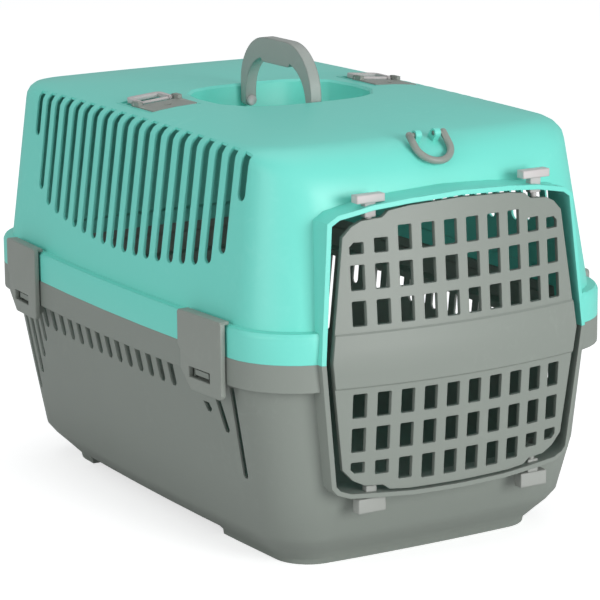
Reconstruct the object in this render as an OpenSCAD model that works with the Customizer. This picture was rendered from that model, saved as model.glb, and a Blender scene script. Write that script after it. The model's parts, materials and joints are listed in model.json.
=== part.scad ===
// Two-part plastic carrier for a small pet: tub, clipped-on cover, grille
// door on draw bolts, fold-down carry handle, loops and a front bail.
// X runs across, the door faces -Y, Z is up and the feet stand on z = 0.

/* [Shell] */
// Width over the rim, mid-length
shell_w = 370; // [340:1:420]
// Length over the rim, on the centre line
shell_l = 546; // [500:1:620]
// Height of the seam between tub and cover
seam_z = 186; // [170:1:205]
// Plan radius of the rim's corners
corner_r = 54; // [45:1:80]
// How far each long side draws in from its middle to its ends
bow_side = 12.5; // [8:0.5:20]
// How far each end draws back from its middle to its corners
bow_end = 11; // [8:0.5:20]
// Wall thickness of the mouldings
wall = 2.1; // [1.9:0.1:3]
// Height of the cover's skirt band above the seam
skirt_h = 25; // [20:1:30]
// Height of the tub's rim band below the seam
rim_h = 24; // [20:1:30]
// Height of the locating lip above the seam
lip_h = 6; // [3:0.5:10]

/* [Tub] */
// Overhang of the rim band beyond the tub wall
tub_step = 11; // [9:0.5:14]
// Draw-in of the side walls from rim to floor fillet
tub_draft_side = 22; // [16:1:30]
// Draw-in of the front wall from rim to floor fillet
tub_draft_front = 18; // [12:1:28]
// Draw-in of the rear wall from rim to floor fillet
tub_draft_rear = 24; // [16:1:32]
// Height at which the front wall turns in
turn_z = 80; // [60:1:95]
// Height of the slope between wall and floor
floor_fillet = 30; // [22:1:36]
// Plan width of the slope between wall and floor
floor_fillet_w = 26; // [18:1:32]
// Height of the inner floor
floor_z = 12; // [11:0.5:16]
// Height of the arches between the feet
foot_h = 8; // [5:0.5:8.5]
// Width of the foot rim
foot_w = 13; // [9:1:18]
// Front end of the side arches, from the shell's centre
arch_front = -100; // [-130:1:-80]
// Rear end of the side arches, from the shell's centre
arch_rear = 152; // [120:1:165]

/* [Cover] */
// Overall height of the roof
roof_z = 358; // [345:1:380]
// Rise of the roof from its edge to its middle
crown = 5.5; // [4:0.5:10]
// Overhang of the skirt beyond the cover wall
cover_step = 8.5; // [5:0.5:11]
// Draw-in of the side walls from skirt to roof fillet
cover_draft_side = 18; // [14:1:30]
// Draw-in of the front wall from skirt to roof fillet
cover_draft_end = 17; // [12:1:28]
// Draw-in of the rear wall from skirt to roof fillet
cover_draft_rear = 8; // [6:1:20]
// Roof fillet along the sides
fillet_side = 14; // [12:1:20]
// Roof fillet across the front, plan width
fillet_front = 42; // [30:1:50]
// Roof fillet across the rear, plan width
fillet_rear = 15; // [12:1:30]

/* [Vents] */
// Number of slots in each side of the cover
vent_n = 20; // [14:1:22]
// Pitch of the cover's slots
vent_pitch = 19.7; // [18:0.1:20]
// Width of the cover's slots
vent_w = 10.5; // [7:0.5:11.5]
// Centre of the row of slots, from the shell's centre
vent_y = -7; // [-10:1:0]
// Lowest reach of the cover's slots, above the seam
vent_low = 52; // [44:1:70]
// Number of short slots in each side of the tub
tub_vent_n = 14; // [8:1:14]
// Pitch of the tub's slots
tub_vent_pitch = 19.1; // [17:0.1:20]
// Width of the tub's slots
tub_vent_w = 9.5; // [7:0.5:10.5]
// Length of the tub's short slots
tub_vent_h = 20; // [12:1:24]
// Rearmost short slot, from the shell's centre
tub_vent_y = 153; // [148:1:156]

/* [Doorway] */
// Half-width of the door at its middle
door_hw = 119; // [112:0.5:122]
// Half-width of the door near its top and bottom
door_hw_end = 106; // [103:0.5:108]
// Height of the door's top above its middle line
door_up = 123; // [118:0.5:125]
// Depth of the door's bottom below its middle line
door_down = 114; // [112:0.5:116]
// Height of the door's middle line above the seam
door_mid = 1; // [0:0.5:4]
// Thickness of the door panel
door_t = 4; // [3:0.5:5]
// Thickness added at the door's middle band
band_t = 1.5; // [1:0.5:3]
// Half-height of the door's middle band
band_hh = 21.5; // [16:0.5:23]
// Radius of the door's curve in plan
door_curve = 532; // [480:1:620]
// Reach of the collar's front beyond the shell's rim
collar_reach = 15; // [12:0.5:20]
// Backward tilt of the door's upper and lower halves
door_tilt = 4.3; // [2:0.1:6]
// Width of the collar's rim
collar_rim = 4; // [3:0.5:5]
// How far the collar's front stands proud of the door
collar_proud = 2; // [1:0.5:4]
// Gap between door edge and collar at top and bottom
door_gap = 2; // [1.5:0.1:3]
// Gap between door edge and collar at the sides
door_side_gap = 6; // [4:0.5:7]

/* [Grille] */
// Columns of openings in the door
grille_cols = 10; // [8:2:10]
// Pitch of the columns
grille_px = 21.05; // [19:0.05:21.5]
// Pitch of the rows
grille_pz = 29; // [27:0.1:29.5]
// Width of one opening
grille_w = 12.2; // [8:0.1:14]
// Height of one opening
grille_h = 20.5; // [14:0.5:22]
// Centre of the row next to the middle band, from the middle line
grille_z1 = 38; // [36:0.5:40]

/* [Bolts] */
// Distance of the bolts from the centre line
bolt_x = 80; // [76:0.5:83]
// Diameter of a bolt's pin
bolt_pin_d = 5.5; // [4:0.1:6.5]
// Diameter of a door boss
boss_d = 11.5; // [10:0.5:13]
// Length of a door boss
boss_l = 12; // [9:0.5:12]
// Reach of a hinge bolt's pin into its boss
bolt_reach = 8.5; // [6:0.5:10]
// Width of the bolt's shank in the collar
shank_w = 10; // [8:0.5:12]
// Thickness of the bolt's shank
shank_t = 6.4; // [6:0.2:8]
// Width of a thumb cap
cap_w = 26; // [22:1:34]
// Height of an upper thumb cap
cap_h = 6.5; // [5:0.5:9]
// Height of a lower thumb cap
lug_h = 12; // [8:0.5:14]
// Depth of a thumb cap, front to back
cap_d = 9; // [8:0.5:11]
// Travel of the latch bolts
latch_travel = 3.5; // [3:0.5:6]
// Running clearance of pins in their bores, on the radius
run_gap = 0.3; // [0.2:0.05:0.5]

/* [Clips] */
// Centre of the front clips, from the shell's centre
clip_front_y = -171.5; // [-185:0.5:-160]
// Centre of the rear clips, from the shell's centre
clip_rear_y = 164; // [150:1:175]
// Length of a clip along the rim
clip_l = 66; // [50:1:70]
// Thickness of a clip
clip_t = 4.5; // [3.5:0.5:6]
// Gap between a clip and the rim
clip_gap = 0.9; // [0.5:0.1:1.5]
// Drop of a clip below the rim band
clip_drop = 12; // [11:0.5:14]
// Length of the window in a clip
clip_win_l = 32; // [26:1:40]
// Diameter of a clip's hinge barrel
barrel_d = 8; // [7:0.5:9]
// Diameter of a clip's hinge pin
clip_pin_d = 4; // [3:0.1:4.5]

/* [Handle] */
// Height of the handle's top over the roof
handle_rise = 47; // [42:1:56]
// Distance between the outer faces of the handle's legs
handle_l = 123; // [110:1:125]
// Width of a leg along the handle
leg_l = 9; // [7:0.5:12]
// Thickness of the handle across
handle_t = 10.5; // [9:0.5:14]
// Outer radius of the handle's shoulders
handle_r = 44; // [30:1:46]
// Depth of the grip
grip_h = 18; // [14:1:20]
// Extra depth at the middle of the grip
belly = 4; // [2:0.5:6]
// Depth of the handle's pivot below the roof
pivot_drop = 14; // [12:0.5:16]
// Diameter of a handle pin
handle_pin_d = 6; // [4:0.5:7]
// Centre of the recess, from the shell's centre
dish_y = 9; // [0:1:15]
// Half-width of the recess across
dish_a = 80; // [76:1:90]
// Room between the handle's legs and the ends of the recess
handle_room = 4.5; // [3:0.5:8]
// Depth of the recess
dish_d = 27; // [25:0.5:32]

/* [Fittings] */
// Distance of the loop fittings from the long sides
fit_in = 72; // [70:1:82]
// Front edge of a fitting's pocket, from the shell's centre
fit_y = -4.5; // [-10:0.5:0]
// Width of a fitting's pocket
fit_w = 44; // [42:1:50]
// Length of a fitting's pocket
fit_l = 62; // [60:1:72]
// Tilt of a fitting, following the roof
fit_tilt = 5; // [3:0.5:7]
// Thickness of a fitting's plate
plate_t = 2.4; // [2:0.1:3]
// Outer width of a loop
loop_w = 34; // [28:1:34]
// Outer length of a loop
loop_l = 24; // [20:1:24]
// Thickness of a loop's stock
loop_t = 4; // [3.8:0.1:5]
// Outer width of the front bail
bail_w = 39; // [32:1:44]
// Length of the front bail from its pivot
bail_l = 31; // [26:1:36]
// Diameter of the bail's stock
bail_d = 6; // [5:0.5:7]

/* [Hidden] */
$fn = 48;

teal = "#83cfc0";
grey = "#80857e";
door_grey = "#969b94";
pale = "#b6b2b2";

hw = shell_w / 2;
hl = shell_l / 2;
rim_z = seam_z - rim_h;
dish_b = handle_l / 2 + handle_room;
fit_x = hw - fit_in;
skirt_z = seam_z + skirt_h;
edge_z = roof_z - crown;
fillet_front_h = 0.93 * fillet_front;
seat_gap = 0.6; // lip to skirt
slide_gap = 0.3; // flat sliding faces

// Door and collar: both follow one upright axis behind the door.
door_zc = seam_z + door_mid;
door_front = hl + collar_reach - collar_proud;
axis_y = door_curve - door_front;
tilt_k = tan(door_tilt);
door_step = 9.5;
boss_top = door_up - door_step - 1.5;
boss_bot = door_down - door_step + 2;
hinge_y = axis_y - sqrt(pow(door_curve - door_t - boss_top * tilt_k, 2) - bolt_x * bolt_x)
    + boss_d / 2 - 3;
collar_back = hl - 37;
front_reach = door_front + band_t;
y_shift = (front_reach - hl) / 2;

// Outline corners, right half, measured from the door's middle line.
door_half = [[0, door_up], [48, door_up - 2], [bolt_x - 14, door_up - 4.5],
    [bolt_x - 8, door_up - door_step], [bolt_x + 10, boss_top], [door_hw_end - 8, boss_top - 4],
    [door_hw_end, boss_top - 12], [door_hw, 0], [door_hw_end + 1.5, 15 - boss_bot],
    [door_hw_end - 8, 5 - boss_bot], [bolt_x + 8, -boss_bot], [bolt_x - 8, -boss_bot - 1],
    [bolt_x - 14, 2 - door_down], [50, 0.5 - door_down], [0, -door_down]];
collar_top = door_up + door_gap + collar_rim;
collar_bot = door_down + door_gap + collar_rim;
collar_hw = door_hw + door_side_gap + collar_rim;
collar_half = [[0, collar_top], [48, collar_top - 2], [bolt_x, collar_top - 5],
    [door_hw_end + 4, collar_top - 11], [door_hw_end + 13, collar_top - 17], [collar_hw, 0],
    [door_hw_end + 11, 14 - collar_bot], [door_hw_end + 6, 8 - collar_bot],
    [door_hw_end - 5, 4 - collar_bot], [45, 0.5 - collar_bot], [0, -collar_bot]];

// Heights of the collar's outer faces beside the bolts.
collar_z_up = door_zc + collar_top - 5;
collar_z_dn = door_zc - collar_bot + 3;

// Clips and their hinges, in a frame that follows the rim.
barrel_u = -4;
barrel_z = rim_z - 6;
lug_l = 5;
barrel_l = 28;
clip_notch = 0.45 * wall;

pivot_z = roof_z - pivot_drop;
handle_top = roof_z + handle_rise;

function lerp(a, b, t) = a + (b - a) * t;
function flip(p) = concat(p, [for (i = [len(p) - 1:-1:0]) if (p[i][0] > 0) [-p[i][0], p[i][1]]]);
function unit(v) = v / norm(v);
function backwards(a) = [for (i = [len(a) - 1:-1:0]) a[i]];
// Polygon with every edge moved out by d (points run clockwise)
function grow(p, d) = [for (i = [0:len(p) - 1]) let(
    a = p[(i + len(p) - 1) % len(p)], b = p[i], c = p[(i + 1) % len(p)],
    e = unit(b - a), f = unit(c - b), m = [-e[1], e[0]], n = [-f[1], f[0]])
    b + (m + n) * d / (1 + m * n)];

// Plan outline of the shells: a bowed rectangle with round corners. Each
// corner has nc steps and each side ns; every ring has the same count.
nc = 8;
ns = 6;
nr = 4 * (nc + ns);
sx = [1, -1, -1, 1];
sy = [1, 1, -1, -1];
function at_corner(q, a, w, lf, lr, r) =
    [sx[q] * (w - r) + r * cos(a), sy[q] * ((q > 1 ? lf : lr) - r) + r * sin(a)];
function flat_pt(q, j, w, lf, lr, r) = j <= nc ? at_corner(q, 90 * q + 90 * j / nc, w, lf, lr, r)
    : lerp(at_corner(q, 90 * q + 90, w, lf, lr, r),
        at_corner((q + 1) % 4, 90 * q + 90, w, lf, lr, r), (j - nc) / ns);
function end_share(q, j) = j <= nc ? pow(sin(90 * q + 90 * j / nc), 2) : (q % 2 == 0 ? 1 : 0);
function bowed(p) = [p[0] * (1 - bow_side / hw * pow(p[1] / hl, 2)),
    p[1] * (1 - bow_end / hl * pow(p[0] / hw, 2))];
// w: half-width; lf, lr: front and rear half-lengths; zs, zf, zr: heights
function ring(w, lf, lr, r, zs, zf, zr) = [for (q = [0:3]) for (j = [0:nc + ns - 1])
    let(p = bowed(flat_pt(q, j, w, lf, lr, r)))
    [p[0], p[1], lerp(zs, q > 1 ? zf : zr, end_share(q, j))]];
// A level ring drawn in by s at the sides and e at the ends
function inset(s, e, z, inner = 0) = drawn(s, e, e, z, inner);
// The same with its own draw-in at the front and at the rear
function drawn(s, ef, er, z, inner = 0) = ring(hw - s, hl - ef, hl - er,
    corner_r - 0.42 * (s - inner) - inner, z, z, z);

module skin(rings) {
    n = len(rings[0]);
    k = len(rings);
    polyhedron(points = [for (r = rings) for (p = r) p], faces = concat(
        [[for (i = [0:n - 1]) i]],
        [for (j = [0:k - 2]) for (i = [0:n - 1]) let(a = j * n + i, b = j * n + (i + 1) % n)
            [a, a + n, b + n, b]],
        [[for (i = [n - 1:-1:0]) (k - 1) * n + i]]), convexity = 12);
}

// Everything is drawn about the shell's centre, then moved so that the
// whole length is centred.
module placed() { translate([0, y_shift, 0]) children(); }

// Outline in X and Z, carried along Y from y0 to y1
module along_y(y0, y1) { translate([0, y1, 0]) rotate([90, 0, 0]) linear_extrude(y1 - y0) children(); }
// Outline in Y and Z, carried along X from x0 to x1
module along_x(x0, x1) { translate([x0, 0, 0]) rotate([90, 0, 90]) linear_extrude(x1 - x0) children(); }
// Profile of radius and height turned about the door's upright axis
module about_axis() {
    translate([0, axis_y, door_zc]) rotate([0, 0, -110]) rotate_extrude(angle = 40, $fn = 270) children();
}
module mirror_if(left) { if (left) mirror([1, 0, 0]) children(); else children(); }
module bar_x(x0, x1, d) { translate([x0, 0, 0]) rotate([0, 90, 0]) cylinder(d = d, h = x1 - x0); }
module bar_y(y0, y1, d) { translate([0, y1, 0]) rotate([90, 0, 0]) cylinder(d = d, h = y1 - y0); }
module box(a, b) { translate(a) cube(b - a); }

// Doorway frame with a shallow V-shaped, curved front
module collar_block(z0, z1) {
    intersection() {
        along_y(-hl - 60, -collar_back) translate([0, door_zc]) polygon(flip(collar_half));
        about_axis() let(e = collar_top + 30, b = door_curve - door_up) polygon([[b, -e],
            [door_curve + collar_proud - e * tilt_k, -e], [door_curve + collar_proud, 0],
            [door_curve + collar_proud - e * tilt_k, e], [b, e]]);
        box([-hw, -hl - 60, z0], [hw, 0, z1]);
    }
}
module doorway_cut() {
    along_y(-hl - 60, -hl + 62) translate([0, door_zc])
        polygon(grow(flip(collar_half), -collar_rim));
}
// Guide slots for the four bolts
module bolt_guides() {
    for (s = [-1, 1]) translate([s * bolt_x, hinge_y, 0])
        box([-shank_w / 2 - slide_gap, -shank_t / 2 - slide_gap, 40],
            [shank_w / 2 + slide_gap, shank_t / 2 + slide_gap, roof_z - 20]);
}

// Frame of one clip: u outwards from the rim, v along it
module at_clip(yc, left) {
    yu = yc / (1 - bow_end / hl);
    mirror_if(left) translate([hw - bow_side * pow(yu / hl, 2), yc, 0])
        rotate([0, 0, atan(2 * bow_side * yu / (hl * hl))]) children();
}
module clip_lugs() {
    for (s = [0, 1]) mirror([0, s, 0]) {
        translate([barrel_u, 0, barrel_z]) {
            bar_y(barrel_l / 2 + 0.6, barrel_l / 2 + 0.6 + lug_l, barrel_d);
            bar_y(barrel_l / 2 - 8, barrel_l / 2 + 1, clip_pin_d);
        }
        box([barrel_u - barrel_d / 2, barrel_l / 2 + 0.6, barrel_z],
            [barrel_u + barrel_d / 2, barrel_l / 2 + 0.6 + lug_l, rim_z + 2]);
    }
    box([-2, -10, rim_z + 1], [clip_gap + 1.8, 10, rim_z + 5.5]);
}

// Slots in the cover: straight tops over the roof fillet, round feet that
// step down along a bowl-shaped line
module cover_vents_2d() {
    for (i = [0:vent_n - 1]) {
        k = abs(i - (vent_n - 1) / 2) / ((vent_n - 1) / 2);
        y = vent_y + (i - (vent_n - 1) / 2) * vent_pitch;
        z = seam_z + vent_low + 22 * k * k + 50 * pow(k, 16);
        translate([y, z + vent_w / 2]) circle(d = vent_w);
        translate([y - vent_w / 2, z + vent_w / 2]) square([vent_w, roof_z + 10 - z]);
    }
}
// Slots in the tub: a short row, a fan of long ones at the rear and three
// slanting ones at the front
module slot_2d(y, z0, z1, w, lean) {
    polygon([[y - w / 2, z1], [y + w / 2, z1], [y + w / 2 - lean, z0 + w / 3], [y + w / 4 - lean, z0],
        [y - w / 4 - lean, z0], [y - w / 2 - lean, z0 + w / 3]]);
}
module tub_vents_2d() {
    z1 = rim_z - 4.5;
    for (i = [0:tub_vent_n - 1])
        slot_2d(tub_vent_y - i * tub_vent_pitch, z1 - tub_vent_h, z1, tub_vent_w, 1.5);
    for (i = [0:3]) slot_2d(tub_vent_y + 13 * (i + 1), z1 - 36 - 18 * i, z1, 0.75 * tub_vent_w, 3 + i);
    yf = clip_front_y + 24;
    slot_2d(yf, z1 - 31, z1 - 23, 9, 3);
    slot_2d(yf - 20, z1 - 44, z1 - 17, 8, 7);
    slot_2d(yf - 45, z1 - 80, z1 - 1, 7, 0);
}

// The tub's walls: a ring at the floor fillet, k in from its edge, and one
// where the front wall turns in
rear_fillet = 1.35; // the rear fillet's width over the others
low_path = [[1, 0], [0.97, 0.15], [0.6, 0.48], [0.25, 0.78], [0, 1.06]];
function low_ring(k, z, inner = 0) = drawn(tub_step + tub_draft_side + k, tub_step + tub_draft_front + k,
    tub_step + tub_draft_rear + k * rear_fillet, z, inner);
turn_share = (rim_z - turn_z) / (rim_z - floor_fillet);
function turn_ring(in) = drawn(tub_step + tub_draft_side * turn_share + in,
    tub_step + tub_draft_front / 6 + in, tub_step + tub_draft_rear * turn_share + in, turn_z, in);

function tub_rings() = concat(
    [for (p = low_path) low_ring(p[0] * floor_fillet_w, p[1] * floor_fillet)],
    [turn_ring(0), inset(tub_step, tub_step, rim_z), inset(0, 0, rim_z + 1), inset(0, 0, seam_z),
     inset(wall + seat_gap, wall + seat_gap, seam_z, wall),
     inset(wall + seat_gap, wall + seat_gap, seam_z + lip_h, wall),
     inset(2 * wall, 2 * wall, seam_z + lip_h, wall), inset(2 * wall, 2 * wall, seam_z - wall, wall),
     inset(wall, wall, seam_z - 2 * wall, wall), inset(wall, wall, rim_z + wall, wall),
     inset(tub_step + wall, tub_step + wall, rim_z + wall - 1, wall), turn_ring(wall)],
    [low_ring(wall, floor_fillet + 0.6 * wall, wall),
     low_ring(0.56 * floor_fillet_w, max(0.5 * floor_fillet + 1.6 * wall, floor_z + 3), wall),
     low_ring(0.84 * floor_fillet_w, floor_z + 0.4, wall), low_ring(1.1 * floor_fillet_w, floor_z, wall)]);

module base_tub() {
    color(grey) placed() difference() {
        union() {
            difference() {
                skin(tub_rings());
                box([-collar_hw - 4, -hl - 5, seam_z], [collar_hw + 4, -hl + 60, seam_z + lip_h + 5]);
                for (s = [0, 1]) mirror([s, 0, 0]) along_x(hw - 60, hw + 20) tub_vents_2d();
            }
            collar_block(30, seam_z);
            for (y = [clip_front_y, clip_rear_y]) for (l = [false, true]) at_clip(y, l) clip_lugs();
        }
        doorway_cut();
        bolt_guides();
        // Hollow under the floor, inside the foot rim, and the side arches
        translate([0, 0, -1]) linear_extrude(floor_z - wall + 1)
            polygon([for (p = low_ring(floor_fillet_w + foot_w, 0)) [p[0], p[1]]]);
        for (s = [0, 1]) mirror([s, 0, 0]) box([40, arch_front, -1], [hw, arch_rear, foot_h]);
    }
}

// Recess in the roof: a squarish oval, d in from its rim
function dish_pt(a, d) = let(k = pow(pow(abs(cos(a)) / (dish_a - d), 3)
    + pow(abs(sin(a)) / (dish_b - d), 3), -1 / 3)) [k * cos(a), dish_y + k * sin(a)];
fil_z = [edge_z - fillet_side, edge_z - fillet_front_h, edge_z - fillet_rear];
function cover_fillet(t, in) = ring(
    hw - cover_step - cover_draft_side - in - (fillet_side - in) * (1 - cos(t)),
    hl - cover_step - cover_draft_end - in - (fillet_front - in) * (1 - cos(t)),
    hl - cover_step - cover_draft_rear - in - (fillet_rear - in) * (1 - cos(t)),
    corner_r - 8 - in - 14 * (1 - cos(t)),
    lerp(fil_z[0], edge_z - in, sin(t)), lerp(fil_z[1], edge_z - in, sin(t)),
    lerp(fil_z[2], edge_z - in, sin(t)));
roof_ring = cover_fillet(90, 0);
roof_dir = [for (p = roof_ring) atan2(p[1] - dish_y, p[0])];
function roof_at(t, in) = [for (i = [0:nr - 1]) let(
    p = lerp([roof_ring[i][0], roof_ring[i][1]], dish_pt(roof_dir[i], -in), t))
    [p[0], p[1], edge_z - in + crown * (1 - pow(1 - t, 2.5))]];
function dish_ring(d, z) = [for (a = roof_dir) let(p = dish_pt(a, d)) [p[0], p[1], z]];

function cover_rings() = concat(
    [dish_ring(13, roof_z - dish_d), dish_ring(5.5, roof_z - dish_d + 2.5),
     dish_ring(3, roof_z - dish_d + 8), dish_ring(2.2, roof_z - 2.2)],
    [for (t = [1, 0.75, 0.5, 0.25]) roof_at(t, 0)],
    [for (t = [90:-22.5:0]) cover_fillet(t, 0)],
    [inset(cover_step, cover_step, skirt_z + 0.5), inset(wall, wall, skirt_z), inset(0.6, 0.6, skirt_z - 2),
     inset(0, 0, skirt_z - 4), inset(0, 0, seam_z), inset(wall, wall, seam_z, wall),
     inset(wall, wall, skirt_z - 6, wall),
     inset(cover_step + wall, cover_step + wall, skirt_z - 2, wall)],
    [for (t = [0:30:90]) cover_fillet(t, wall)],
    [for (t = [0.33, 0.66, 1]) roof_at(t, wall)],
    [dish_ring(0, roof_z - dish_d + 6), dish_ring(3.5, roof_z - dish_d - 1),
     dish_ring(12, roof_z - dish_d - wall)]);

// Frame of a loop fitting: origin on the roof, tilted with it
fit_t = 0.54;
module at_fitting(left) {
    mirror_if(left) translate([fit_x, fit_y + fit_l / 2, edge_z + crown * (1 - pow(1 - fit_t, 2.5))])
        rotate([0, fit_tilt, 0]) children();
}
pocket_d = 2.6;
well_d = 5;

// Front bail: its frame lies along the roof's front fillet
bail_a = atan(fillet_front_h / fillet_front);
bail_surf = [-(hl - cover_step - cover_draft_end - fillet_front * (1 - cos(45))),
    fil_z[1] + fillet_front_h * sin(45)];
bail_clear = bail_d / 2 + 0.7;
module at_bail() {
    translate([0, bail_surf[0] - bail_clear * sin(bail_a) + bail_l / 2 * cos(bail_a),
        bail_surf[1] + bail_clear * cos(bail_a) + bail_l / 2 * sin(bail_a)])
        rotate([bail_a, 0, 0]) children();
}
bail_pin_d = 4;
bail_lug_x = [6.5, 12];

module top_cover() {
    color(teal) placed() difference() {
        union() {
            skin(backwards(cover_rings()));
            collar_block(seam_z, roof_z);
            // Bosses that carry the handle's pins
            for (s = [0, 1]) translate([0, dish_y, 0]) mirror([0, s, 0])
                box([-9, dish_b - 1.2, pivot_z - 8], [9, dish_b + 13, roof_z - wall / 2]);
            for (l = [false, true]) at_fitting(l)
                box([-fit_w / 2 - 2, -fit_l / 2 - 2, -well_d - 2], [fit_w / 2 + 2, fit_l / 2 + 2, -1]);
            at_bail() for (s = [0, 1]) mirror([s, 0, 0]) {
                bar_x(bail_lug_x[0], bail_lug_x[1], bail_pin_d + 4);
                box([bail_lug_x[0], -bail_pin_d / 2 - 2, -10], [bail_lug_x[1], bail_pin_d / 2 + 2, 0]);
            }
        }
        doorway_cut();
        bolt_guides();
        for (s = [0, 1]) mirror([s, 0, 0])
            along_x(hw - cover_step - cover_draft_side - 11, hw + 20) cover_vents_2d();
        translate([0, dish_y, pivot_z]) for (s = [0, 1]) mirror([0, s, 0])
            bar_y(dish_b - 8, dish_b + 12, handle_pin_d + 0.2);
        for (l = [false, true]) at_fitting(l) {
            box([-fit_w / 2, -fit_l / 2, -pocket_d], [fit_w / 2, fit_l / 2, 12]);
            box([-loop_w / 2 - 1, 8, -well_d], [loop_w / 2 + 1, fit_l / 2 - 4, 0]);
        }
        at_bail() bar_x(-bail_lug_x[1] - 1, bail_lug_x[1] + 1, bail_pin_d + 2 * run_gap);
        for (y = [clip_front_y, clip_rear_y]) for (l = [false, true]) at_clip(y, l)
            box([-clip_notch, -clip_l / 2 - 1.2, seam_z - 1], [15, clip_l / 2 + 1.2, skirt_z + 0.2]);
    }
}

module grille_2d() {
    mid = (grille_cols - 1) / 2;
    for (i = [0:grille_cols - 1]) for (j = [0:2]) for (s = [-1, 1]) {
        k = mid - abs(i - mid); // 0 at the outer columns
        z0 = grille_z1 + j * grille_pz - grille_h / 2;
        cut = j < 2 ? 0 : k == 0 ? grille_h - 9.5 : k == 1 ? grille_h - 12 : (k == 2 && s < 0) ? 2 : 0;
        c = (j == 2 && k == 0) ? 3.5 : 0.8;
        o = i < mid ? -1 : 1;
        x = (i - mid) * grille_px;
        polygon([for (p = [[-o * (grille_w / 2), 0.8], [-o * (grille_w / 2 - 0.8), 0],
            [o * (grille_w / 2 - 0.8), 0], [o * grille_w / 2, 0.8], [o * grille_w / 2, grille_h - cut - c],
            [o * (grille_w / 2 - c), grille_h - cut], [-o * (grille_w / 2 - 0.8), grille_h - cut],
            [-o * grille_w / 2, grille_h - cut - 0.8]]) [x + p[0], s * (z0 + p[1])]]);
    }
}

module door_panel() {
    h = band_hh;
    e = door_up + 25;
    color(door_grey) placed() difference() {
        union() {
            intersection() {
                along_y(-hl - 60, -hl + 60) translate([0, door_zc]) polygon(flip(door_half));
                about_axis() polygon([[door_curve - door_t - e * tilt_k, -e],
                    [door_curve - e * tilt_k, -e], [door_curve - (h + 1.5) * tilt_k, -h - 1.5],
                    [door_curve + band_t - h * tilt_k, -h], [door_curve + band_t, 0],
                    [door_curve + band_t - h * tilt_k, h], [door_curve - (h + 1.5) * tilt_k, h + 1.5],
                    [door_curve - e * tilt_k, e], [door_curve - door_t - e * tilt_k, e],
                    [door_curve - door_t, 0]]);
            }
            for (s = [-1, 1]) translate([s * bolt_x, hinge_y, door_zc]) {
                translate([0, 0, boss_top - boss_l]) cylinder(d = boss_d, h = boss_l);
                translate([0, 0, -boss_bot]) cylinder(d = boss_d, h = boss_l);
            }
        }
        along_y(-hl - 60, -hl + 60) translate([0, door_zc]) grille_2d();
        for (s = [-1, 1]) translate([s * bolt_x, hinge_y, door_zc]) for (z = [boss_top - boss_l, -boss_bot])
            translate([0, 0, z - 1]) cylinder(d = bolt_pin_d + 2 * run_gap, h = boss_l + 12 * (z > 0 ? 1 : 0) + 1.5);
        for (s = [-1, 1]) translate([s * bolt_x, hinge_y, door_zc - boss_bot - 12])
            cylinder(d = bolt_pin_d + 2 * run_gap, h = 13);
    }
}

// Draw bolt, pointing down: cap, shank through the collar, pin. The collar's
// outer face is at z = 0 and the door boss ends drop below it.
module bolt(cap, drop, hinge) {
    stay = 0.8;
    shank_end = hinge ? stay + 1 : stay + latch_travel + 0.5;
    tip = hinge ? -bolt_reach : stay;
    c = hinge ? 1.7 : latch_travel + 1.7;
    box([-cap_w / 2, -cap_d / 2, c], [cap_w / 2, cap_d / 2, c + cap]);
    box([-shank_w / 2, -shank_t / 2, shank_end - drop], [shank_w / 2, shank_t / 2, c + 1]);
    translate([0, 0, tip - drop]) cylinder(d = bolt_pin_d, h = shank_end - tip + 2);
}
module bolt_top(s, hinge) {
    translate([s * bolt_x, hinge_y, collar_z_up])
        bolt(cap_h, collar_z_up - door_zc - boss_top, hinge);
}
module bolt_bottom(s, hinge) {
    translate([s * bolt_x, hinge_y, collar_z_dn]) rotate([180, 0, 0])
        bolt(lug_h, door_zc - boss_bot - collar_z_dn, hinge);
}
module door_bolt_top_left() { color(pale) placed() bolt_top(-1, true); }
module door_bolt_top_right() { color(pale) placed() bolt_top(1, false); }
module door_bolt_bottom_left() { color(pale) placed() bolt_bottom(-1, true); }
module door_bolt_bottom_right() { color(pale) placed() bolt_bottom(1, false); }

// Clip: plate with a window, hook over the skirt and a barrel under the rim
module clip() {
    a = clip_l / 2;
    z0 = rim_z - clip_drop;
    z1 = skirt_z + 3.8;
    f = clip_gap + clip_t;
    difference() {
        union() {
            along_x(clip_gap, f) polygon([[-a, z1 - 2], [2 - a, z1], [a - 2, z1], [a, z1 - 2], [a, seam_z - 1],
                [a - 4, seam_z - 5], [a - 4, rim_z + 4], [a - 4 - (clip_drop + 4), z0], [3 - a, z0], [-a, z0 + 3]]);
            box([-4.2, 2 - a, skirt_z + 0.9], [f - 0.5, a - 2, z1]);
            translate([barrel_u, 0, barrel_z]) bar_y(-barrel_l / 2, barrel_l / 2, barrel_d);
            box([barrel_u, -barrel_l / 2, barrel_z - barrel_d / 2], [f - 1, barrel_l / 2, barrel_z + 1]);
        }
        box([-1, -clip_win_l / 2, rim_z - 1.5], [f + 1, clip_win_l / 2, rim_z + 7.5]);
        translate([barrel_u, 0, barrel_z]) bar_y(-barrel_l, barrel_l, clip_pin_d + 2 * run_gap);
    }
}
module clip_front_left() { color(grey) placed() at_clip(clip_front_y, true) clip(); }
module clip_front_right() { color(grey) placed() at_clip(clip_front_y, false) clip(); }
module clip_rear_left() { color(grey) placed() at_clip(clip_rear_y, true) clip(); }
module clip_rear_right() { color(grey) placed() at_clip(clip_rear_y, false) clip(); }

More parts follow.
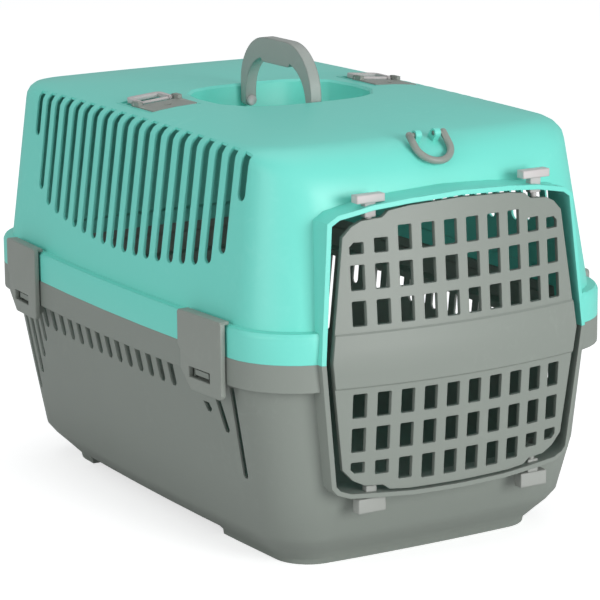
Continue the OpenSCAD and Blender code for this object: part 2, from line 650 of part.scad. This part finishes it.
// Handle: an arch with a deep grip, rounded where it turns on its pins
module handle_2d() {
    a = handle_l / 2;
    b = a - leg_l;
    r = handle_r;
    ri = handle_r - leg_l;
    zi = handle_top - grip_h;
    half = 0.17 * handle_l;
    difference() {
        union() {
            translate([-a, pivot_z - 10]) square([2 * a, handle_top - r - pivot_z + 10]);
            translate([r - a, pivot_z - 10]) square([2 * (a - r), handle_top - pivot_z + 10]);
            for (s = [-1, 1]) translate([s * (a - r), handle_top - r]) circle(r = r, $fn = 96);
        }
        difference() {
            union() {
                translate([-b, pivot_z - 20]) square([2 * b, zi - ri - pivot_z + 20]);
                translate([ri - b, pivot_z - 20]) square([2 * (b - ri), zi - pivot_z + 20]);
                for (s = [-1, 1]) translate([s * (b - ri), zi - ri]) circle(r = ri, $fn = 96);
            }
            translate([-half, zi - belly]) square([2 * half, belly + 5]);
            for (s = [-1, 1]) translate([s * half, zi]) circle(r = belly);
        }
    }
}
module carry_handle() {
    color(grey) placed() translate([0, dish_y, 0]) difference() {
        intersection() {
            along_x(-handle_t / 2, handle_t / 2) handle_2d();
            along_y(-handle_l, handle_l) {
                translate([0, pivot_z]) circle(d = handle_t);
                translate([-handle_t / 2, pivot_z]) square([handle_t, handle_top - pivot_z + 5]);
            }
        }
        translate([0, 0, pivot_z]) bar_y(-handle_l, handle_l, handle_pin_d + 2 * run_gap);
    }
}
module handle_pin() {
    a = handle_l / 2;
    translate([0, dish_y, pivot_z]) {
        bar_y(a - leg_l - 0.5, dish_b + 11, handle_pin_d);
        bar_y(a - leg_l - 2.3, a - leg_l - 0.4, handle_pin_d + 3);
    }
}
module handle_pin_front() {
    color(pale) placed() translate([0, 2 * dish_y, 0]) mirror([0, 1, 0]) handle_pin();
}
module handle_pin_rear() { color(pale) placed() handle_pin(); }

module front_bail() {
    r = (bail_w - bail_d) / 2;
    leg = bail_l - bail_w / 2;
    color(grey) placed() at_bail() {
        for (s = [0, 1]) mirror([s, 0, 0]) translate([r, 0, 0]) {
            bar_y(-leg, 0, bail_d);
            sphere(d = bail_d);
            bar_x(bail_lug_x[0] + 0.5 - r, 0, bail_pin_d);
        }
        translate([0, -leg, 0]) rotate([0, 0, 180]) rotate_extrude(angle = 180, $fn = 72)
            translate([r, 0]) circle(d = bail_d);
    }
}

// Loop fittings: plate with two ears, a cross pin and a lifting loop
loop_pin_y = 6;
loop_pin_z = 0.5;
loop_pin_d = 3;
loop_rise = 0.5;
module strap_plate() {
    z1 = plate_t - pocket_d;
    e = loop_w / 2 + 0.6;
    difference() {
        union() {
            box([-fit_w / 2 + slide_gap, -fit_l / 2 + slide_gap, -pocket_d], [fit_w / 2 - slide_gap, 1.5, z1]);
            for (s = [0, 1]) mirror([s, 0, 0]) {
                box([e, -4, -pocket_d], [e + 4, loop_pin_y, loop_pin_z + loop_pin_d]);
                translate([0, loop_pin_y, loop_pin_z]) bar_x(e, e + 4, 2 * loop_pin_d);
                box([e, loop_pin_y - 1, -pocket_d], [e + 4, loop_pin_y + loop_pin_d, loop_pin_z]);
            }
        }
        translate([0, loop_pin_y, loop_pin_z]) bar_x(-fit_w / 2, fit_w / 2, loop_pin_d + 0.2);
        translate([0, -fit_l / 2 + 14, z1 - 1]) cylinder(d = 7, h = 5);
    }
}
module strap_loop() {
    w = loop_w / 2;
    r = 6;
    translate([0, loop_pin_y, loop_pin_z]) rotate([loop_rise, 0, 0]) difference() {
        union() {
            translate([0, 0, -loop_t / 2]) linear_extrude(loop_t) difference() {
                union() {
                    translate([-w, 0]) square([2 * w, loop_l - r]);
                    translate([r - w, 0]) square([2 * (w - r), loop_l]);
                    for (s = [-1, 1]) translate([s * (w - r), loop_l - r]) circle(r = r);
                }
                translate([loop_t - w, -1]) square([2 * (w - loop_t), loop_l - loop_t - 1]);
            }
            for (s = [0, 1]) mirror([s, 0, 0]) bar_x(w - loop_t, w, loop_t);
        }
        bar_x(-loop_w, loop_w, loop_pin_d + 2 * run_gap);
    }
}
module strap_pin() {
    x = loop_w / 2 + 4.4;
    translate([0, loop_pin_y, loop_pin_z]) bar_x(-x, x, loop_pin_d);
}
module strap_plate_left() { color(grey) placed() at_fitting(true) strap_plate(); }
module strap_plate_right() { color(grey) placed() at_fitting(false) strap_plate(); }
module strap_loop_left() { color(pale) placed() at_fitting(true) strap_loop(); }
module strap_loop_right() { color(pale) placed() at_fitting(false) strap_loop(); }
module strap_pin_left() { color(pale) placed() at_fitting(true) strap_pin(); }
module strap_pin_right() { color(pale) placed() at_fitting(false) strap_pin(); }

base_tub();
top_cover();
door_panel();
door_bolt_top_left();
door_bolt_top_right();
door_bolt_bottom_left();
door_bolt_bottom_right();
clip_front_left();
clip_front_right();
clip_rear_left();
clip_rear_right();
carry_handle();
handle_pin_front();
handle_pin_rear();
front_bail();
strap_plate_left();
strap_plate_right();
strap_loop_left();
strap_loop_right();
strap_pin_left();
strap_pin_right();
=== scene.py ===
import bpy, json
import numpy as np
from math import radians, sin, cos
from mathutils import Vector, Matrix
from mathutils.kdtree import KDTree

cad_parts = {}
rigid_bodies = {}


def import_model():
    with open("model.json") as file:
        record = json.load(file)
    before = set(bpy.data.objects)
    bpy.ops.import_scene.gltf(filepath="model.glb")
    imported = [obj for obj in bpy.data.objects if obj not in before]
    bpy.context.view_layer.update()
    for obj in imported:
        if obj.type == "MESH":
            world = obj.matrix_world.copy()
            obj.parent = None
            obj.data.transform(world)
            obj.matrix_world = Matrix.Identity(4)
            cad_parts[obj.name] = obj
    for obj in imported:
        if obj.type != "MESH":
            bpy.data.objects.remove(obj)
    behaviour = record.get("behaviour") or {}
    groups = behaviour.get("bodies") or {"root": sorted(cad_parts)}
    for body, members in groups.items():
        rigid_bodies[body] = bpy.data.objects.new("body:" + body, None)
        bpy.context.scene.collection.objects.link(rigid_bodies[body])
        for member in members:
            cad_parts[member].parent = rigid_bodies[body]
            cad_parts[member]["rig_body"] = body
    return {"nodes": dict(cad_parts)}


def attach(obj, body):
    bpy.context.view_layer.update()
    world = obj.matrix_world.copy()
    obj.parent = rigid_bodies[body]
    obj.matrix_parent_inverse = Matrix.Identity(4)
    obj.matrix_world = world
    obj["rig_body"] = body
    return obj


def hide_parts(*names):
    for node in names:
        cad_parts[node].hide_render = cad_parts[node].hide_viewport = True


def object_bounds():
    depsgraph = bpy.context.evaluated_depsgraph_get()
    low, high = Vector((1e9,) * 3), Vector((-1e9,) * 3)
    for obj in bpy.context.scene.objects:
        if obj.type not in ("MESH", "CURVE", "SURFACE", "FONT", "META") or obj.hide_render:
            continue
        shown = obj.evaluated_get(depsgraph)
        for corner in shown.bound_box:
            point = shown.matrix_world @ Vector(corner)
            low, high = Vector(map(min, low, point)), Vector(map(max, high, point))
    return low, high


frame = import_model()
cad_low, cad_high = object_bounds()

# The view: a long lens on the carrier's front left corner, a little above
# its roof, as a catalogue picture is taken.
turn, lift, lean = radians(-30.598), radians(13.109), radians(-0.576)
back = Vector((sin(turn) * cos(lift), -cos(turn) * cos(lift), sin(lift)))
across = Vector((cos(turn), sin(turn), 0))
upward = back.cross(across)
side = across * cos(lean) + upward * sin(lean)
head = -across * sin(lean) + upward * cos(lean)
bpy.ops.object.select_all(action="DESELECT")
bpy.ops.object.camera_add()
eye = bpy.context.object
eye.name = "eye"
eye.matrix_world = Matrix(((side.x, head.x, back.x, -1.25766), (side.y, head.y, back.y, -2.14099),
                           (side.z, head.z, back.z, 0.75036), (0, 0, 0, 1)))
eye.data.lens, eye.data.sensor_width = 170.93, 36
eye.data.clip_end = 60
bpy.context.scene.camera = eye
bpy.context.scene.view_settings.view_transform = "Standard"


def linear(r, g, b):
    """A colour read off a screen, 0 to 255, as the shader wants it."""
    return tuple(c / 12.92 if c <= 0.04045 else ((c + 0.055) / 1.055) ** 2.4
                 for c in (r / 255, g / 255, b / 255)) + (1,)


# The room: a white sweep of paper under a bright, even studio. The lens sees
# the paper overexposed, so only the shadow under the carrier is left on it.
bpy.ops.mesh.primitive_plane_add(size=12, location=(0, 0, cad_low.z))
paper = bpy.context.object
paper.name = "paper"
bpy.ops.object.transform_apply(location=True)
paper_white = bpy.data.materials.new("paper_white")
paper_white.use_nodes = True
n, l = paper_white.node_tree.nodes, paper_white.node_tree.links
n["Principled BSDF"].inputs["Roughness"].default_value = 0.9
n["Principled BSDF"].inputs["Specular IOR Level"].default_value = 0.1
n["Principled BSDF"].inputs["Base Color"].default_value = (0.78, 0.78, 0.78, 1)
n["Principled BSDF"].inputs["Emission Color"].default_value = (1, 1, 1, 1)
ray = n.new("ShaderNodeLightPath")
lift_up = n.new("ShaderNodeMath")
lift_up.operation = "MULTIPLY"
lift_up.inputs[1].default_value = 0.62
l.new(ray.outputs["Is Camera Ray"], lift_up.inputs[0])
l.new(lift_up.outputs[0], n["Principled BSDF"].inputs["Emission Strength"])
paper.data.materials.append(paper_white)

# The studio's own light: soft grey air on the carrier, plain white behind it
# and through its slots.
world = bpy.data.worlds.new("studio")
world.use_nodes = True
bpy.context.scene.world = world
n, l = world.node_tree.nodes, world.node_tree.links
for node in list(n):
    n.remove(node)
ray = n.new("ShaderNodeLightPath")
seen = n.new("ShaderNodeMath")
seen.operation = "MAXIMUM"
l.new(ray.outputs["Is Camera Ray"], seen.inputs[0])
l.new(ray.outputs["Is Transmission Ray"], seen.inputs[1])
air, walls = n.new("ShaderNodeBackground"), n.new("ShaderNodeBackground")
air.inputs["Color"].default_value = (0.96, 0.98, 1, 1)
air.inputs["Strength"].default_value = 0.42
walls.inputs["Color"].default_value = (1, 1, 1, 1)
walls.inputs["Strength"].default_value = 1
both = n.new("ShaderNodeMixShader")
out = n.new("ShaderNodeOutputWorld")
l.new(seen.outputs[0], both.inputs[0])
l.new(air.outputs[0], both.inputs[1])
l.new(walls.outputs[0], both.inputs[2])
l.new(both.outputs[0], out.inputs["Surface"])


def softbox(name, place, aim, size, power):
    """A square of light at place, facing aim."""
    bpy.ops.object.light_add(type="AREA", location=place)
    lamp = bpy.context.object
    lamp.name = name
    lamp.data.shape, lamp.data.size = "SQUARE", size
    lamp.data.energy = power
    lamp.rotation_mode = "QUATERNION"
    lamp.rotation_quaternion = (Vector(aim) - Vector(place)).to_track_quat("-Z", "Y")
    return lamp


# Three boxes: low in front, low on the left, and one high over the roof.
softbox("key", (0.7, -3.45, 0.95), (0, 0, 0.18), 1.6, 77)
softbox("fill", (-3.1, -0.8, 1.1), (0, 0, 0.15), 1.8, 26)
softbox("overhead", (0.2, 0.6, 3.2), (0, 0, 0.3), 2.4, 19)


# Moulded plastic: the tool is finely sparked, so every outer face has a soft
# grain, and use leaves faint rubbed patches and pale dust on top of it.
def new_group(name, takes, gives):
    """An empty shader group with its named sockets."""
    group = bpy.data.node_groups.new(name, "ShaderNodeTree")
    for label, kind, value in takes:
        socket = group.interface.new_socket(label, in_out="INPUT", socket_type=kind)
        socket.default_value = value
    for label, kind in gives:
        group.interface.new_socket(label, in_out="OUTPUT", socket_type=kind)
    return group, group.nodes.new("NodeGroupInput"), group.nodes.new("NodeGroupOutput")


grain, into, outof = new_group(
    "tool_grain",
    [("Scale", "NodeSocketFloat", 900), ("Ripple", "NodeSocketFloat", 0.3)],
    [("Height", "NodeSocketFloat"), ("Tone", "NodeSocketFloat")])
n, l = grain.nodes, grain.links
place = n.new("ShaderNodeTexCoord")
spark = n.new("ShaderNodeTexNoise")
spark.inputs["Detail"].default_value = 3
spark.inputs["Roughness"].default_value = 0.6
flow = n.new("ShaderNodeTexNoise")
flow.inputs["Scale"].default_value = 14
flow.inputs["Detail"].default_value = 2
sum_up = n.new("ShaderNodeMath")
sum_up.operation = "MULTIPLY_ADD"
l.new(place.outputs["Object"], spark.inputs["Vector"])
l.new(place.outputs["Object"], flow.inputs["Vector"])
l.new(into.outputs["Scale"], spark.inputs["Scale"])
l.new(flow.outputs["Fac"], sum_up.inputs[0])
l.new(into.outputs["Ripple"], sum_up.inputs[1])
l.new(spark.outputs["Fac"], sum_up.inputs[2])
l.new(sum_up.outputs[0], outof.inputs["Height"])
l.new(spark.outputs["Fac"], outof.inputs["Tone"])

wear, into, outof = new_group(
    "handling_wear",
    [("Plastic", "NodeSocketColor", (0.5, 0.5, 0.5, 1)),
     ("Rubbed", "NodeSocketColor", (0.6, 0.6, 0.6, 1)),
     ("Amount", "NodeSocketFloat", 0.4),
     ("Gloss", "NodeSocketFloat", 0.4),
     ("Matt", "NodeSocketFloat", 0.55)],
    [("Color", "NodeSocketColor"), ("Roughness", "NodeSocketFloat")])
n, l = wear.nodes, wear.links
place = n.new("ShaderNodeTexCoord")
cloud = n.new("ShaderNodeTexNoise")
cloud.inputs["Scale"].default_value = 9
cloud.inputs["Detail"].default_value = 5
scuff = n.new("ShaderNodeTexNoise")
scuff.inputs["Scale"].default_value = 70
scuff.inputs["Detail"].default_value = 6
scuff.inputs["Distortion"].default_value = 1.5
patch = n.new("ShaderNodeMapRange")
patch.inputs["From Min"].default_value, patch.inputs["From Max"].default_value = 0.5, 0.72
mark = n.new("ShaderNodeMapRange")
mark.inputs["From Min"].default_value, mark.inputs["From Max"].default_value = 0.52, 0.75
where = n.new("ShaderNodeMath")
where.operation = "MULTIPLY"
share = n.new("ShaderNodeMath")
share.operation = "MULTIPLY"
colour = n.new("ShaderNodeMix")
colour.data_type = "RGBA"
rough = n.new("ShaderNodeMix")
l.new(place.outputs["Object"], cloud.inputs["Vector"])
l.new(place.outputs["Object"], scuff.inputs["Vector"])
l.new(cloud.outputs["Fac"], patch.inputs["Value"])
l.new(scuff.outputs["Fac"], mark.inputs["Value"])
l.new(patch.outputs[0], where.inputs[0])
l.new(mark.outputs[0], where.inputs[1])
l.new(where.outputs[0], share.inputs[0])
l.new(into.outputs["Amount"], share.inputs[1])
l.new(share.outputs[0], colour.inputs["Factor"])
l.new(into.outputs["Plastic"], colour.inputs[6])
l.new(into.outputs["Rubbed"], colour.inputs[7])
l.new(colour.outputs[2], outof.inputs["Color"])
l.new(cloud.outputs["Fac"], rough.inputs["Factor"])
l.new(into.outputs["Gloss"], rough.inputs[2])
l.new(into.outputs["Matt"], rough.inputs[3])
l.new(rough.outputs[0], outof.inputs["Roughness"])


def moulded(name, plastic, rubbed, gloss=0.36, matt=0.5, round_off=0.0008):
    """Grained, lightly worn plastic of one colour, its sharp edges eased by round_off."""
    amount, scale, bump, depth = 0.35, 900, 0.12, 0.0003
    made = bpy.data.materials.new(name)
    made.use_nodes = True
    n, l = made.node_tree.nodes, made.node_tree.links
    shade = n["Principled BSDF"]
    used = n.new("ShaderNodeGroup")
    used.node_tree = wear
    used.inputs["Plastic"].default_value, used.inputs["Rubbed"].default_value = plastic, rubbed
    used.inputs["Amount"].default_value = amount
    used.inputs["Gloss"].default_value, used.inputs["Matt"].default_value = gloss, matt
    skin = n.new("ShaderNodeGroup")
    skin.node_tree = grain
    skin.inputs["Scale"].default_value = scale
    relief = n.new("ShaderNodeBump")
    relief.inputs["Strength"].default_value = bump
    relief.inputs["Distance"].default_value = depth
    eased = n.new("ShaderNodeBevel")
    eased.samples = 4
    eased.inputs["Radius"].default_value = round_off
    l.new(used.outputs["Color"], shade.inputs["Base Color"])
    l.new(used.outputs["Roughness"], shade.inputs["Roughness"])
    l.new(skin.outputs["Height"], relief.inputs["Height"])
    l.new(eased.outputs["Normal"], relief.inputs["Normal"])
    l.new(relief.outputs["Normal"], shade.inputs["Normal"])
    return made


def dressed(node, material, crisp=32, rounding=0):
    """A copy of a CAD part with its faces joined up, its edges rounded and its curves smoothed."""
    cad = frame["nodes"][node]
    piece = bpy.data.objects.new(node + "_skin", cad.data.copy())
    bpy.context.scene.collection.objects.link(piece)
    bpy.ops.object.select_all(action="DESELECT")
    piece.select_set(True)
    bpy.context.view_layer.objects.active = piece
    bpy.ops.object.mode_set(mode="EDIT")
    bpy.ops.mesh.select_all(action="SELECT")
    bpy.ops.mesh.remove_doubles(threshold=0.00002)
    if rounding:
        bpy.ops.mesh.dissolve_limited(angle_limit=radians(2))
    bpy.ops.object.mode_set(mode="OBJECT")
    if rounding:
        edge = piece.modifiers.new("rounded_edges", "BEVEL")
        edge.width, edge.segments = rounding, 3
        edge.limit_method, edge.angle_limit = "ANGLE", radians(38)
        bpy.ops.object.modifier_apply(modifier=edge.name)
    bpy.ops.object.shade_smooth_by_angle(angle=radians(crisp))
    piece.data.materials.clear()
    piece.data.materials.append(material)
    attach(piece, cad["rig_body"])
    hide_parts(node)
    return piece


def evened(piece, reach=0.006, alike=0.8):
    """Corner normals averaged over the faces near each corner that look nearly its way.

    Dots are strewn evenly over every face. Each corner then takes the mean
    direction of the dots round it, the nearest counting most, so that a wall
    cut up by slots still shades as one smooth curve."""
    dot_gap, far = 0.4 * reach, 2.2 * reach
    step_u, step_v = 0.7548777, 0.5698403
    mesh = piece.data
    count = len(mesh.polygons)
    spots = np.empty(len(mesh.vertices) * 3)
    mesh.vertices.foreach_get("co", spots)
    spots = spots.reshape(-1, 3)
    corners = np.empty(count * 3, dtype=int)
    mesh.loops.foreach_get("vertex_index", corners)
    a, b, c = (spots[corners.reshape(-1, 3)[:, k]] for k in range(3))
    facing = np.cross(b - a, c - a)
    twice = np.linalg.norm(facing, axis=1)
    facing /= np.maximum(twice, 1e-12)[:, None]
    shots = np.maximum(1, np.ceil(twice / 2 / dot_gap ** 2)).astype(int)
    owner = np.repeat(np.arange(count), shots)
    turn_no = np.arange(len(owner)) - np.repeat(np.cumsum(shots) - shots, shots)
    u, v = (0.5 + turn_no * step_u) % 1, (0.5 + turn_no * step_v) % 1
    over = u + v > 1
    u[over], v[over] = 1 - u[over], 1 - v[over]
    dots = a[owner] + (b - a)[owner] * u[:, None] + (c - a)[owner] * v[:, None]
    share = (twice / shots)[owner]
    tree = KDTree(len(dots))
    for k, dot in enumerate(dots):
        tree.insert(dot, k)
    tree.balance()
    by_corner = [[] for _ in spots]
    for k, vertex in enumerate(corners):
        by_corner[vertex].append(k)
    result = facing[np.arange(count * 3) // 3].copy()
    for vertex, held in enumerate(by_corner):
        found = [k for _, k, _ in tree.find_range(spots[vertex], far)]
        if not found or not held:
            continue
        near = np.array(found)
        gap = np.linalg.norm(dots[near] - spots[vertex], axis=1) / reach
        weigh = share[near] * np.exp(-gap * gap)
        ways = facing[owner[near]]
        own = facing[np.array(held) // 3]
        match = (own @ ways.T > alike) * weigh
        total = match @ ways
        size = np.linalg.norm(total, axis=1)
        good = size > 1e-12
        result[np.array(held)[good]] = total[good] / size[good, None]
    mesh.normals_split_custom_set(result.tolist())


# The tub: grey polypropylene, one deep moulding with a stepped rim band, slots
# under the band and feet under the floor. The four clips hold the cover to it.
tub_grey = moulded("tub_grey", linear(134, 141, 134), linear(150, 156, 150), gloss=0.4, matt=0.54)
evened(dressed("base_tub", tub_grey))

# The cover: mint polypropylene, one moulding set over the tub's lip, with
# slotted sides and a sunk well for the handle.
cover_mint = moulded("cover_mint", linear(116, 220, 205), linear(144, 232, 219), gloss=0.34, matt=0.48)
evened(dressed("top_cover", cover_mint))

# The door: a curved polypropylene grille with a plain band across its middle.
# It turns on the two left-hand bolts.
door_plastic = moulded("door_grey", linear(134, 141, 134), linear(152, 158, 152), gloss=0.36, matt=0.5)
evened(dressed("door_panel", door_plastic), reach=0.004)

# The bolts: four small moulded slides with thumb caps, in guides above and
# below the door, pale above and greyer below.
bolt_plastic = moulded("bolt_grey", linear(196, 191, 190), linear(208, 204, 203), round_off=0.0018)
lug_plastic = moulded("lug_grey", linear(160, 163, 158), linear(178, 180, 176), round_off=0.0018)
for corner in ("top_left", "top_right"):
    dressed("door_bolt_" + corner, bolt_plastic, rounding=0.0014)
for corner in ("bottom_left", "bottom_right"):
    dressed("door_bolt_" + corner, lug_plastic, rounding=0.0014)

# The clips: four grey buckles, hinged under the tub's rim, that hook over the
# cover's skirt and pull the two shells together.
clip_plastic = moulded("clip_grey", linear(141, 147, 140), linear(160, 164, 158), round_off=0.0012)
for corner in ("front_left", "front_right", "rear_left", "rear_right"):
    dressed("clip_" + corner, clip_plastic, rounding=0.0007)

# The carry handle: one thick grey arch, smoother than the shells, on two pale
# pins in the cover's well.
grip_plastic = moulded("grip_grey", linear(156, 162, 157), linear(174, 178, 174),
                       gloss=0.32, matt=0.44, round_off=0.002)
evened(dressed("carry_handle", grip_plastic), reach=0.003, alike=0.55)
for end in ("front", "rear"):
    dressed("handle_pin_" + end, bolt_plastic)

# The bail and the roof fittings: a grey U on the cover's front, and two plates
# let into the roof, each with a pale loop on a cross pin.
dressed("front_bail", clip_plastic, crisp=50)
for hand in ("left", "right"):
    dressed("strap_plate_" + hand, clip_plastic, crisp=20)
    dressed("strap_loop_" + hand, bolt_plastic, rounding=0.0008)
    dressed("strap_pin_" + hand, bolt_plastic)
